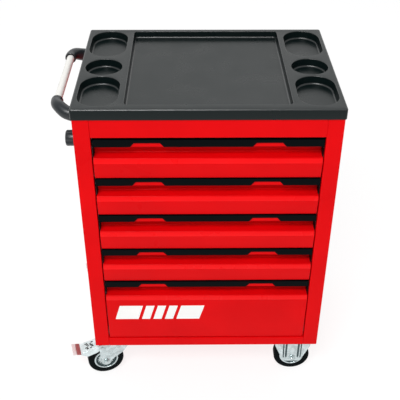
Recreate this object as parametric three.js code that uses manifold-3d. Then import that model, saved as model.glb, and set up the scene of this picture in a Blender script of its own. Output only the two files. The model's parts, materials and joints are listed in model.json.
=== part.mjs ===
// Five-drawer roller tool cart: a sheet-steel cabinet with a moulded work-top tray, telescopic drawer
// slides, a central lock, a push handle on the left side and four casters (two swivel, two fixed).
// Millimetres, +Z up, front towards -Y. The origin is on the floor, under the centre of the footprint.
import * as THREE from "three";
import { mergeVertices } from "three/addons/utils/BufferGeometryUtils.js";
import Module from "manifold-3d";

const wasm = await Module();
wasm.setup();

// ---------------------------------------------------------------- driving dimensions
const GAP = 0.3; // clearance between pieces that touch
const SHEET = 1.2; // steel sheet of the cabinet and drawers
const BODY = { width: 616, depth: 452, height: 714, bottom: 130, topUnderTray: 737.7 };
const STILE = { width: 38.5, turn: 14 }; // front edge of a side panel, bent inwards, then back
const HEADER_BOTTOM = 666.5;
const SILL_TOP = 26.5;
const BASE_THICKNESS = 1.5;
const TRAY = { width: 622, depth: 458, skirt: 27, skin: 3, wall: 2.5, corner: 5 };
const RECESS = { halfWidth: 191, front: 22, back: 440, corner: 9, depth: 18 };
const CUP = { x: 253, depth: 21 };
const CUPS = [
  { front: 14.5, back: 165.5, halfWidth: 47 },
  { front: 174, back: 264, halfWidth: 45 },
  { front: 280.5, back: 440.5, halfWidth: 47 },
];
const DRAWER = { count: 5, firstTop: 661, pitch: 106.8, width: 533, shallow: 105, deep: 204.5 };
const FRONT = { pocketDepth: 27, pocketBack: -47.5, pocketFront: -49, ridge: -62, lip: 18.5 };
const TRIM = { notchX: 141, notchBottom: 78, notchTop: 60, notchHeight: 10.6, thickness: 2.5, wrap: 16 };
const BOX = { halfWidth: 254, front: 28.5, back: 430, top: -16, underFront: 6.5 };
const SLIDE = { z: -56, length: 400, front: 31, outer: 18, middle: 15.8, inner: 11, throw: 12.6 };
const INNER_WALL = { x: 268, front: 32, back: 446, top: 660 };
const LOCK = { y: 58, z: 634, radius: 19, reach: 26, bore: 8.3 };
// Heights of the tabs and the catches they block are below each drawer's top.
const LOCK_BAR = { x: -294, thickness: 2, width: 12, bottom: 130, tab: -102, tabHeight: 8, lift: 10 };
const CATCH = { z: -86, halfHeight: 4, reach: 8, front: 2, thickness: 4 };
const HANDLE = { x: 353.5, y: 224, z: 708, tube: 9.5, grip: 117, arm: 14, footY: 163, footZ: 696 };
const PLATE = { length: 102, width: 84, thickness: 2.5, corner: 8 };
const WHEEL = { radius: 50.8, width: 32, rim: 34, bore: 5.4, hub: 19, drop: 79.2, lead: 44 };
const CASTER = { x: 247, front: 48, back: 404, restDegrees: 15 };
const FORK = { inner: 20.2, wall: 2.5, boss: 14, axle: 5 };
const BRACKET = { reach: 50, shoulder: -32, foot: 26, corner: 5 };
const BEAD = { x: 22, width: 6, height: 1.6 };
const BOLT = { radius: 8, head: 4.5, nut: 6 };
const CROWN = { race: 27, hole: 6.5, raceTop: -8.6, crownTop: -13, front: 24, back: 48 };
const PEDAL = { x: -52, z: -24.5, end: -133, halfWidth: 19, drop: 15, thickness: 2, tail: 7, shoe: 14 };
const PEDAL_SKIRT = { x: -95, low: -51, rear: -67, rearLow: -42 };

const red = new THREE.MeshStandardMaterial({ color: 0xd81418, roughness: 0.38, metalness: 0.1 });
const blackPlastic = new THREE.MeshStandardMaterial({ color: 0x3a3e3e, roughness: 0.6 });
const trimPlastic = new THREE.MeshStandardMaterial({ color: 0x1c1f22, roughness: 0.4 });
const zinc = new THREE.MeshStandardMaterial({ color: 0xc4ccca, roughness: 0.35, metalness: 0.9 });
const slideSteel = new THREE.MeshStandardMaterial({ color: 0xb4b8bb, roughness: 0.3, metalness: 0.9 });
const gripPaint = new THREE.MeshStandardMaterial({ color: 0xe4e4df, roughness: 0.35, metalness: 0.2 });
const tyreRubber = new THREE.MeshStandardMaterial({ color: 0x15191a, roughness: 0.75 });

// ---------------------------------------------------------------- solids and outlines
// A closed geometry as a manifold-3d solid, for cutting and joining.
function solid(geometry) {
  const bare = geometry.index ? geometry.toNonIndexed() : geometry.clone();
  bare.deleteAttribute("normal");
  bare.deleteAttribute("uv");
  const merged = mergeVertices(bare, 1e-3);
  return new wasm.Manifold(
    new wasm.Mesh({
      numProp: 3,
      vertProperties: merged.attributes.position.array,
      triVerts: new Uint32Array(merged.index.array),
    }),
  );
}

function geometryOf(shape) {
  const made = shape.getMesh();
  return new THREE.BufferGeometry()
    .setAttribute("position", new THREE.BufferAttribute(new Float32Array(made.vertProperties), 3))
    .setIndex(new THREE.BufferAttribute(new Uint32Array(made.triVerts), 1));
}

function part(name, shape, material, parent) {
  const geometry = shape.isBufferGeometry ? shape : geometryOf(shape);
  geometry.computeVertexNormals();
  const mesh = new THREE.Mesh(geometry, material);
  mesh.name = name;
  parent.add(mesh);
  return mesh;
}

function groupAt(x, y, z, parent) {
  const group = new THREE.Group();
  group.position.set(x, y, z);
  parent.add(group);
  return group;
}

const AXES = {
  x: new THREE.Matrix4().makeBasis(
    new THREE.Vector3(0, 1, 0),
    new THREE.Vector3(0, 0, 1),
    new THREE.Vector3(1, 0, 0),
  ),
  y: new THREE.Matrix4().makeBasis(
    new THREE.Vector3(1, 0, 0),
    new THREE.Vector3(0, 0, 1),
    new THREE.Vector3(0, -1, 0),
  ),
  z: new THREE.Matrix4(),
};

function polygon(points) {
  return new THREE.Shape(points.map(([a, b]) => new THREE.Vector2(a, b)));
}

// Extrudes an outline along one axis from low to high. The outline's plane is (y, z), (x, z) or (x, y).
function extrude(outline, axis, low, high, curveSegments = 3) {
  const shape = outline instanceof THREE.Shape ? outline : polygon(outline);
  const settings = { depth: high - low, bevelEnabled: false, curveSegments };
  const made = new THREE.ExtrudeGeometry(shape, settings).applyMatrix4(AXES[axis]);
  const start = { x: [low, 0, 0], y: [0, high, 0], z: [0, 0, low] }[axis];
  return solid(made.translate(...start));
}

function block([x0, x1], [y0, y1], [z0, z1]) {
  const made = new THREE.BoxGeometry(Math.abs(x1 - x0), y1 - y0, z1 - z0);
  return solid(made.translate((x0 + x1) / 2, (y0 + y1) / 2, (z0 + z1) / 2));
}

// A bent sheet's outline: its path, and the path moved to its right by the sheet's thickness.
function bentSheet(path, thickness = SHEET) {
  const points = path.map(([a, b]) => new THREE.Vector2(a, b));
  const normals = points.slice(1).map((p, i) => {
    const along = p.clone().sub(points[i]).normalize();
    return new THREE.Vector2(along.y, -along.x);
  });
  const moved = points.map((p, i) => {
    const before = normals[Math.max(i - 1, 0)];
    const after = normals[Math.min(i, normals.length - 1)];
    const mitre = before.clone().add(after).normalize();
    return p.clone().addScaledVector(mitre, thickness / mitre.dot(after));
  });
  return [...points, ...moved.reverse()].map((p) => [p.x, p.y]);
}

function roundedRectangle(x0, x1, y0, y1, radius) {
  const shape = new THREE.Shape();
  shape.moveTo(x0 + radius, y0);
  shape.lineTo(x1 - radius, y0);
  shape.absarc(x1 - radius, y0 + radius, radius, -Math.PI / 2, 0);
  shape.lineTo(x1, y1 - radius);
  shape.absarc(x1 - radius, y1 - radius, radius, 0, Math.PI / 2);
  shape.lineTo(x0 + radius, y1);
  shape.absarc(x0 + radius, y1 - radius, radius, Math.PI / 2, Math.PI);
  shape.lineTo(x0, y0 + radius);
  shape.absarc(x0 + radius, y0 + radius, radius, Math.PI, 1.5 * Math.PI);
  return shape;
}

// A solid of revolution about Y from [radius, y] points; a ring's profile closes on itself.
function turned(profile, segments = 32) {
  const points = profile.map(([r, y]) => new THREE.Vector2(r, y));
  if (profile[0][0] > 0) points.push(points[0].clone());
  return new THREE.LatheGeometry(points, segments);
}

const alongX = (geometry) => geometry.rotateZ(-Math.PI / 2);
const alongZ = (geometry) => geometry.rotateX(Math.PI / 2);
const disc = (radius, y0, y1, segments) => turned([[0, y0], [radius, y0], [radius, y1], [0, y1]], segments);

// ---------------------------------------------------------------- cabinet
const half = BODY.width / 2;

// A side panel bends round the front as a stile and round the back as a flange.
function sidePanel(side) {
  const inner = half - STILE.width;
  const rearFlange = 18;
  const path = [
    [inner, STILE.turn],
    [inner, 0],
    [half, 0],
    [half, BODY.depth],
    [half - rearFlange, BODY.depth],
  ];
  const outline = bentSheet(path, -SHEET).map(([x, y]) => [side * x, y]);
  const panel = extrude(outline, "z", 0, BODY.topUnderTray);
  if (side > 0) return panel;
  const lockHole = alongX(disc(LOCK.radius * 0.6, -half - 5, -half + 5, 24));
  return panel.subtract(solid(lockHole.translate(0, LOCK.y, LOCK.z)));
}

function buildShell(cabinet) {
  const inner = half - STILE.width - GAP;
  part("side_panel_left", sidePanel(-1), red, cabinet);
  part("side_panel_right", sidePanel(1), red, cabinet);

  const topFlange = 8;
  const header = [
    [STILE.turn, HEADER_BOTTOM],
    [0, HEADER_BOTTOM],
    [0, BODY.topUnderTray],
    [topFlange, BODY.topUnderTray],
  ];
  part("header_rail", extrude(bentSheet(header), "x", -inner, inner), red, cabinet);

  const sill = [[0, 0], [0, SILL_TOP], [STILE.turn, SILL_TOP]];
  part("sill_rail", extrude(bentSheet(sill), "x", -inner, inner), red, cabinet);

  const wide = half - SHEET - GAP;
  const backInside = BODY.depth - 2 * SHEET - 2 * GAP;
  const front = SHEET + GAP;
  const base = [
    [-inner, front],
    [inner, front],
    [inner, STILE.turn + GAP],
    [wide, STILE.turn + GAP],
    [wide, backInside - GAP],
    [-wide, backInside - GAP],
    [-wide, STILE.turn + GAP],
    [-inner, STILE.turn + GAP],
  ];
  part("base_panel", extrude(base, "z", 0, BASE_THICKNESS), red, cabinet);
  const back = block([-wide, wide], [backInside, backInside + SHEET], [0, BODY.topUnderTray - 1]);
  part("back_panel", back, red, cabinet);
}

// The inner wall is a channel that makes the side double-walled and carries the outer slide rails.
function innerWall(side) {
  const outer = half - SHEET - GAP;
  const path = [
    [outer, INNER_WALL.front],
    [INNER_WALL.x, INNER_WALL.front],
    [INNER_WALL.x, INNER_WALL.back],
    [outer, INNER_WALL.back],
  ];
  const outline = bentSheet(path, SHEET).map(([x, y]) => [side * x, y]);
  let wall = extrude(outline, "z", BASE_THICKNESS + GAP, INNER_WALL.top);
  for (let i = 0; i < DRAWER.count; i += 1) {
    wall = wall.add(outerRail(side).translate([0, 0, drawerTop(i) + SLIDE.z]));
    if (side < 0) wall = wall.subtract(lockWindow().translate([0, 0, drawerTop(i)]));
  }
  return wall;
}

function drawerTop(index) {
  return DRAWER.firstTop - DRAWER.pitch * index;
}

function outerRail(side) {
  const web = BOX.halfWidth + SLIDE.throw;
  const lip = web - 6;
  const path = [
    [lip, -SLIDE.outer],
    [web + 1.6, -SLIDE.outer],
    [web + 1.6, SLIDE.outer],
    [lip, SLIDE.outer],
  ];
  const outline = bentSheet(path, -SHEET).map(([x, z]) => [side * x, z]);
  return extrude(outline, "y", INNER_WALL.front, INNER_WALL.front + SLIDE.length);
}

// ---------------------------------------------------------------- work-top tray
function cupOutline({ front, back, halfWidth }, grow) {
  const wide = halfWidth + grow;
  return roundedRectangle(CUP.x - wide, CUP.x + wide, front - grow, back + grow, wide - 0.01);
}

// Every pocket of the tray, up to one height; grown outwards and downwards it is the moulding's outside.
function trayPockets(grow, high) {
  const { halfWidth, front, back, corner, depth } = RECESS;
  const recess = roundedRectangle(
    -halfWidth - grow,
    halfWidth + grow,
    front - grow,
    back + grow,
    corner + grow,
  );
  return CUPS.reduce(
    (made, cup) => {
      const low = TRAY.skirt - CUP.depth - grow;
      const right = extrude(cupOutline(cup, grow), "z", low, high, 4);
      return made.add(right).add(right.mirror([1, 0, 0]));
    },
    extrude(recess, "z", TRAY.skirt - depth - grow, high),
  );
}

function buildTray(cabinet) {
  const x = TRAY.width / 2;
  const y0 = (BODY.depth - TRAY.depth) / 2;
  const y1 = y0 + TRAY.depth;
  const { skirt, skin, wall, corner } = TRAY;
  const outer = extrude(roundedRectangle(-x, x, y0, y1, corner), "z", 0, skirt);
  const under = roundedRectangle(-x + wall, x - wall, y0 + wall, y1 - wall, wall / 4);
  const tray = outer
    .subtract(extrude(under, "z", -1, skirt - skin))
    .add(trayPockets(wall, skirt - skin / 2))
    .subtract(trayPockets(0, skirt + 1));
  part("worktop_tray", tray, blackPlastic, groupAt(0, 0, BODY.height, cabinet));
}

// ---------------------------------------------------------------- drawers
// The front is one bent sheet: bottom flange, face, ridge, finger pocket, back wall and hooked lip.
function frontPath(height) {
  const { pocketDepth, pocketBack, pocketFront, ridge, lip } = FRONT;
  const bottomTurn = 20;
  const lipBack = 3.6;
  const top = -2 * SHEET - GAP; // the pull strip's top lies over the lip
  return [
    [bottomTurn, -height],
    [3, -height],
    [-3, ridge],
    [1, pocketFront],
    [pocketDepth, pocketBack],
    [pocketDepth, top],
    [lipBack, top],
    [lipBack, -lip],
  ];
}

function drawerFront(height) {
  const wide = DRAWER.width / 2;
  const path = frontPath(height);
  const sheet = extrude(bentSheet(path), "x", -wide, wide);
  const middle = bentSheet(path, SHEET / 2).slice(path.length).reverse();
  const cheek = [...middle.slice(0, 5), [FRONT.pocketDepth, -height + SHEET / 2]];
  return sheet
    .add(extrude(cheek, "x", -wide, -wide + SHEET))
    .add(extrude(cheek, "x", wide - SHEET, wide));
}

// The pull strip covers the lip's front, with two notches, and wraps over its top.
function drawerTrim() {
  const wide = DRAWER.width / 2;
  const { notchX, notchBottom, notchTop, notchHeight, thickness, wrap } = TRIM;
  const low = -FRONT.lip;
  const outline = [[-wide, 0], [-wide, low]];
  for (const centre of [-notchX, notchX]) {
    outline.push([centre - notchBottom / 2, low]);
    outline.push([centre - notchTop / 2, low + notchHeight]);
    outline.push([centre + notchTop / 2, low + notchHeight]);
    outline.push([centre + notchBottom / 2, low]);
  }
  outline.push([wide, low], [wide, 0]);
  const front = 2.4 - GAP - thickness;
  const over = block([-wide, wide], [front, front + wrap], [-SHEET, 0]);
  return extrude(outline, "y", front, front + thickness).add(over);
}

function innerRail(side) {
  const web = BOX.halfWidth - SHEET / 2;
  const lip = BOX.halfWidth + 6.5;
  const path = [[lip, -SLIDE.inner], [web, -SLIDE.inner], [web, SLIDE.inner], [lip, SLIDE.inner]];
  const outline = bentSheet(path).map(([x, z]) => [side * x, z]);
  const rail = extrude(outline, "y", SLIDE.front, SLIDE.front + SLIDE.length - 4);
  return rail.translate([0, 0, SLIDE.z]);
}

function drawerBox(height) {
  const wide = BOX.halfWidth;
  const low = -height + BOX.underFront;
  const outside = block([-wide, wide], [BOX.front, BOX.back], [low, BOX.top]);
  const inside = block(
    [-wide + SHEET, wide - SHEET],
    [BOX.front + SHEET, BOX.back - SHEET],
    [low + SHEET, 0],
  );
  const catchFront = LOCK.y + LOCK_BAR.width + CATCH.front;
  const lockCatch = block(
    [-wide - CATCH.reach, -wide + SHEET / 2],
    [catchFront, catchFront + CATCH.thickness],
    [CATCH.z - CATCH.halfHeight, CATCH.z + CATCH.halfHeight],
  );
  return outside.subtract(inside).add(innerRail(-1)).add(innerRail(1)).add(lockCatch);
}

// The middle slide member runs inside the outer rail and round the inner rail.
function middleMember(side) {
  const { middle, inner, throw: reach } = SLIDE;
  const web = BOX.halfWidth + 7.4;
  const innerLip = inner + 1.4;
  const outerEnd = BOX.halfWidth + reach - 1;
  const innerEnd = BOX.halfWidth + 2.5;
  const upper = [
    [web, 0],
    [web, innerLip],
    [innerEnd, innerLip],
    [innerEnd, innerLip + 1.1],
    [web, innerLip + 1.1],
    [web, middle],
    [outerEnd, middle],
    [outerEnd, middle - 1.2],
    [web + SHEET, middle - 1.2],
    [web + SHEET, 0],
  ];
  const lower = upper.slice(1, -1).reverse().map(([x, z]) => [x, -z]);
  const outline = [...upper, ...lower].map(([x, z]) => [side * x, z]);
  return extrude(outline, "y", SLIDE.front + 8, SLIDE.front + SLIDE.length - 8);
}

function buildDrawers(cabinet) {
  for (let i = 0; i < DRAWER.count; i += 1) {
    const number = i + 1;
    const height = i === DRAWER.count - 1 ? DRAWER.deep : DRAWER.shallow;
    const drawer = groupAt(0, 0, drawerTop(i), cabinet);
    part(`drawer_box_${number}`, drawerBox(height), red, drawer);
    part(`drawer_front_${number}`, drawerFront(height), red, drawer);
    part(`drawer_pull_trim_${number}`, drawerTrim(), trimPlastic, drawer);
    const slides = groupAt(0, 0, SLIDE.z, drawer);
    part(`slide_middle_left_${number}`, middleMember(-1), slideSteel, slides);
    part(`slide_middle_right_${number}`, middleMember(1), slideSteel, slides);
  }
  part("inner_wall_left", innerWall(-1), slideSteel, cabinet);
  part("inner_wall_right", innerWall(1), slideSteel, cabinet);
}

// ---------------------------------------------------------------- central lock
// Space in the left inner wall for one lock tab, from its unlocked to its locked place.
function lockWindow() {
  const { tab, tabHeight, lift, width } = LOCK_BAR;
  const margin = 2;
  return block(
    [-INNER_WALL.x - 3, -INNER_WALL.x + 3],
    [LOCK.y - margin, LOCK.y + width + margin],
    [tab - margin, tab + tabHeight + lift + margin],
  );
}

// A housing on the side panel, a barrel with a cam pin, and the bar with five tabs that the pin lifts.
function buildLock(cabinet) {
  const { radius, reach, y, z, bore } = LOCK;
  const { tab, tabHeight, width, thickness, x, bottom, lift } = LOCK_BAR;
  const neck = radius * 0.6 - GAP;
  const outside = -half - GAP;
  const inside = outside + 9;
  const lock = groupAt(0, y, z, cabinet);
  const housing = turned(
    [
      [bore, outside - reach],
      [radius - 3, outside - reach],
      [radius, outside - reach + 3],
      [radius, outside],
      [neck, outside],
      [neck, inside],
      [bore, inside],
    ],
    20,
  );
  part("lock_housing", alongX(housing), trimPlastic, lock);

  const barrel = alongX(disc(bore - GAP, outside - reach - 0.8, inside + 2.5, 24));
  const keyway = block([outside - reach - 2, outside - reach + 4], [-0.8, 0.8], [-4.5, 4.5]);
  const pin = 1.5;
  const throwY = lift / 2;
  const camPin = alongX(disc(pin, inside, x + thickness + 1, 12)).translate(0, throwY, -lift / 2);
  part("lock_barrel", solid(barrel).subtract(keyway).add(solid(camPin)), zinc, lock);

  const play = 0.6;
  const slot = block(
    [x - 1, x + thickness + 1],
    [throwY - pin - play, throwY * Math.SQRT2 + pin + play],
    [-lift / 2 - pin - play, -lift / 2 + pin + play],
  );
  let bar = block([x, x + thickness], [0, width], [bottom - z, 20]).subtract(slot);
  for (let i = 0; i < DRAWER.count; i += 1) {
    const low = drawerTop(i) + tab - z;
    bar = bar.add(block([x, -BOX.halfWidth - 5], [0, width], [low, low + tabHeight]));
  }
  part("lock_bar", bar, zinc, lock);
}

// ---------------------------------------------------------------- push handle
// An elbow holds one end of the tube, curves round and lands on a flange on the side panel.
function handleElbow(direction) {
  const { x, z, arm, tube, grip, footY, footZ } = HANDLE;
  const wallX = -half - GAP;
  const at = (px, along, pz) => new THREE.Vector3(px, direction * along, pz);
  const route = new THREE.CatmullRomCurve3([
    at(-x, grip, z),
    at(-x, grip + 18, z),
    at(-x + 5, footY - 13, z - 3),
    at(-x + 20, footY - 2, footZ + 3),
    at(wallX, footY, footZ),
  ]);
  const round = new THREE.Shape();
  round.absarc(0, 0, arm, 0, 2 * Math.PI);
  const settings = { extrudePath: route, steps: 10, curveSegments: 6, bevelEnabled: false };
  const body = solid(new THREE.ExtrudeGeometry(round, settings));
  const flange = alongX(disc(arm + 3, wallX - 5, wallX, 24)).translate(0, direction * footY, footZ);
  const depth = 14;
  const socket = disc(tube + GAP, -depth, depth, 24).translate(-x, direction * grip, z);
  const keep = block([-2 * half, wallX], [-2 * half, 2 * half], [0, 2 * BODY.height]);
  return body.add(solid(flange)).subtract(solid(socket)).intersect(keep);
}

function buildHandle(cabinet) {
  const { x, y, z, tube, grip } = HANDLE;
  const handle = groupAt(0, y, 0, cabinet);
  part("handle_elbow_front", handleElbow(-1), trimPlastic, handle);
  part("handle_elbow_rear", handleElbow(1), trimPlastic, handle);
  const end = grip + 13;
  const bar = disc(tube, -end, end, 24).translate(-x, 0, z);
  part("handle_tube", bar, gripPaint, handle);
}

// ---------------------------------------------------------------- casters
function casterPlate() {
  const { length, width, thickness, corner } = PLATE;
  const plan = roundedRectangle(-length / 2, length / 2, -width / 2, width / 2, corner);
  return extrude(plan, "z", -GAP - thickness, -GAP);
}

function axleHole(x) {
  const hole = disc(FORK.axle + GAP, -2 * FORK.inner, 2 * FORK.inner, 12);
  return solid(hole.translate(x, 0, -WHEEL.drop));
}

// Both legs of a fork or bracket, from one outline in the (x, z) plane.
function legs(outline) {
  const leg = extrude(outline, "y", FORK.inner, FORK.inner + FORK.wall);
  return leg.add(leg.mirror([0, 1, 0]));
}

function legOutline(axleX, top, leading, trailing) {
  const shape = new THREE.Shape();
  const shoulder = 12;
  shape.moveTo(leading, top);
  shape.lineTo(leading, top - shoulder);
  shape.absarc(axleX, -WHEEL.drop, FORK.boss, -Math.PI / 5, -0.8 * Math.PI, true);
  shape.lineTo(trailing, top - shoulder);
  shape.lineTo(trailing, top);
  return shape;
}

function buildWheel(name, axleX, caster) {
  const wheel = groupAt(axleX, 0, -WHEEL.drop, caster);
  const { radius, width, rim, bore, hub } = WHEEL;
  const side = width / 2;
  const shoulder = side - 1.5;
  const rimProfile = [
    [bore, -hub],
    [11, -hub],
    [14, -9],
    [27, -7],
    [rim - 3, -shoulder],
    [rim, -shoulder],
    [rim, shoulder],
    [rim - 3, shoulder],
    [27, 7],
    [14, 9],
    [11, hub],
    [bore, hub],
  ];
  const seat = rim + GAP;
  const tyreProfile = [
    [seat, 1 - side],
    [radius - 5, -side],
    [radius - 1, 4 - side],
    [radius, 9 - side],
    [radius, side - 9],
    [radius - 1, side - 4],
    [radius - 5, side],
    [seat, side - 1],
  ];
  part(`wheel_rim_${name}`, turned(rimProfile, 24), zinc, wheel);
  part(`tyre_${name}`, turned(tyreProfile, 36), tyreRubber, wheel);
  const outside = FORK.inner + FORK.wall + GAP;
  const bolt = [
    [0, -outside - BOLT.head],
    [BOLT.radius, -outside - BOLT.head],
    [BOLT.radius, -outside],
    [FORK.axle, -outside],
    [FORK.axle, outside],
    [BOLT.radius, outside],
    [BOLT.radius, outside + BOLT.nut],
    [0, outside + BOLT.nut],
  ];
  part(`axle_bolt_${name}`, turned(bolt, 12), zinc, wheel);
}

function buildFixedCaster(name, y, cabinet) {
  const caster = groupAt(CASTER.x, y, 0, cabinet);
  const { reach, shoulder, foot, corner } = BRACKET;
  const top = -GAP - PLATE.thickness / 2;
  const low = -WHEEL.drop - FORK.boss;
  const outline = [
    [-reach, top],
    [-reach, shoulder],
    [-foot, low + corner],
    [corner - foot, low],
    [foot - corner, low],
    [foot, low + corner],
    [reach, shoulder],
    [reach, top],
  ];
  const beads = [-BEAD.x, BEAD.x].map((x) => block(
    [x - BEAD.width / 2, x + BEAD.width / 2],
    [FORK.inner + FORK.wall / 2, FORK.inner + FORK.wall + BEAD.height],
    [low + 2 * corner, -WHEEL.bore - PLATE.thickness],
  ));
  const rib = beads[0].add(beads[1]);
  const bracket = casterPlate()
    .add(legs(outline))
    .add(rib)
    .add(rib.mirror([0, 1, 0]))
    .subtract(axleHole(0));
  part(`caster_bracket_${name}`, bracket, zinc, caster);
  buildWheel(name, 0, caster);
}

// The fork's crown carries the lower race and turns on the plate's kingpin.
function swivelFork() {
  const { race, hole, raceTop, crownTop, front, back } = CROWN;
  const outside = FORK.inner + FORK.wall;
  const ring = [[hole, crownTop - 1], [race, crownTop - 1], [race, raceTop], [hole, raceTop]];
  const plate = block([-back, front], [-outside, outside], [crownTop - FORK.wall, crownTop]);
  const pinHole = alongZ(disc(hole, -2 * WHEEL.drop, 0, 16));
  return plate
    .add(solid(alongZ(turned(ring, 20))))
    .add(legs(legOutline(-WHEEL.lead, crownTop, front, -back - 12)))
    .subtract(solid(pinHole))
    .subtract(axleHole(-WHEEL.lead));
}

// A stamped pedal that turns about Y between the fork's legs and presses its shoe on the tyre.
function brakePedal() {
  const { x, z, end, halfWidth, drop, thickness, tail, shoe } = PEDAL;
  const top = z + 3;
  const tip = z - drop;
  const path = [
    [x + tail, top],
    [x - 14, top],
    [end + 18, tip + 3],
    [end, tip + 7],
  ];
  const flange = [
    [x + tail, top - 0.5],
    [x - 14, top - 0.5],
    [end + 18, tip + 2.5],
    [end + 19, tip - 3],
    [PEDAL_SKIRT.x, PEDAL_SKIRT.low],
    [PEDAL_SKIRT.rear, PEDAL_SKIRT.rearLow],
    [x - 4, z - 9],
    [x + tail, z - 5],
  ];
  const wing = halfWidth - thickness;
  const pad = [
    [x - shoe, top - 1],
    [x - shoe - 12, top - 5],
    [x - shoe - 12, z - 7],
    [x - shoe, z - 3],
  ];
  return extrude(bentSheet(path, -thickness), "y", -halfWidth, halfWidth)
    .add(extrude(flange, "y", wing, halfWidth))
    .add(extrude(flange, "y", -halfWidth, -wing))
    .add(extrude(pad, "y", -9, 9));
}

function buildSwivelCaster(name, y, cabinet) {
  const { race, hole, raceTop, crownTop } = CROWN;
  const caster = groupAt(-CASTER.x, y, 0, cabinet);
  const upperRace = alongZ(disc(race - 1, raceTop + GAP, -GAP - 1, 20));
  const pinHead = crownTop - FORK.wall - GAP;
  const kingpin = alongZ(
    turned([
      [0, pinHead - 3],
      [hole + 4, pinHead - 3],
      [hole + 4, pinHead],
      [hole - GAP, pinHead],
      [hole - GAP, -GAP - 1],
      [0, -GAP - 1],
    ], 16),
  );
  const plate = casterPlate().add(solid(upperRace)).add(solid(kingpin));
  part(`swivel_plate_${name}`, plate, zinc, caster);
  const turning = groupAt(0, 0, 0, caster);
  turning.rotation.z = THREE.MathUtils.degToRad(CASTER.restDegrees);
  part(`swivel_fork_${name}`, swivelFork(), zinc, turning);
  part(`brake_pedal_${name}`, brakePedal(), zinc, turning);
  buildWheel(name, -WHEEL.lead, turning);
}

// ---------------------------------------------------------------- the whole cart
const cart = new THREE.Group();
const cabinet = groupAt(0, 0, BODY.bottom, cart);
buildShell(cabinet);
buildTray(cabinet);
buildDrawers(cabinet);
buildLock(cabinet);
buildHandle(cabinet);
buildSwivelCaster("front_left", CASTER.front, cabinet);
buildSwivelCaster("rear_left", CASTER.back, cabinet);
buildFixedCaster("front_right", CASTER.front, cabinet);
buildFixedCaster("rear_right", CASTER.back, cabinet);

// The origin lies under the centre of the footprint.
const footprint = new THREE.Box3().setFromObject(cart).getCenter(new THREE.Vector3());
cart.position.set(-footprint.x, -footprint.y, 0);

export default cart;
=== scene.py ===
import json
import math

import bmesh
import bpy
from mathutils import Matrix, Vector


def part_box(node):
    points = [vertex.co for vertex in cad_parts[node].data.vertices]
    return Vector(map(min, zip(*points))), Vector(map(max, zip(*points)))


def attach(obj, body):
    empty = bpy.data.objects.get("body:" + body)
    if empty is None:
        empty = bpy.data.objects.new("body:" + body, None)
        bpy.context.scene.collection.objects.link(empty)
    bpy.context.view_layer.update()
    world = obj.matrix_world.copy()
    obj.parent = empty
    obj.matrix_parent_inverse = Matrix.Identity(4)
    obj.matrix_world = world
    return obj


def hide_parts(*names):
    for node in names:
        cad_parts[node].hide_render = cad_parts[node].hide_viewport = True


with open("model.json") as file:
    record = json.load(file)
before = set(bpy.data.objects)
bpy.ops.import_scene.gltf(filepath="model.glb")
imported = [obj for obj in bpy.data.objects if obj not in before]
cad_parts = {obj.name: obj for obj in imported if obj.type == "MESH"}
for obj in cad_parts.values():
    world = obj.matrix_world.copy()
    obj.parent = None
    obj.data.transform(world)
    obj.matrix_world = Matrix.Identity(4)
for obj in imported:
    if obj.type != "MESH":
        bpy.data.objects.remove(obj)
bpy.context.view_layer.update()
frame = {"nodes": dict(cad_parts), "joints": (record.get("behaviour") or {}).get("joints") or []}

JOINTS = {joint["name"]: joint for joint in frame["joints"]}

# The cabinet's own frame: millimetres, x = 0 at its centre, y = 0 at its front, z = 0 at its bottom.
MM = 0.001
left_low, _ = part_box("side_panel_left")
_, right_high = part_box("side_panel_right")
middle_x = (left_low.x + right_high.x) / 2
CABINET = Matrix.Translation((middle_x, left_low.y, left_low.z)) @ Matrix.Scale(MM, 4)
TO_CABINET = CABINET.inverted()


def span(node):
    """A CAD node's lowest and highest corner, in the cabinet's frame."""
    low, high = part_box(node)
    return TO_CABINET @ low, TO_CABINET @ high


def joint_place(name):
    """A joint's pivot, in the cabinet's frame."""
    return TO_CABINET @ Vector(JOINTS[name]["pos_m"])


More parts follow.
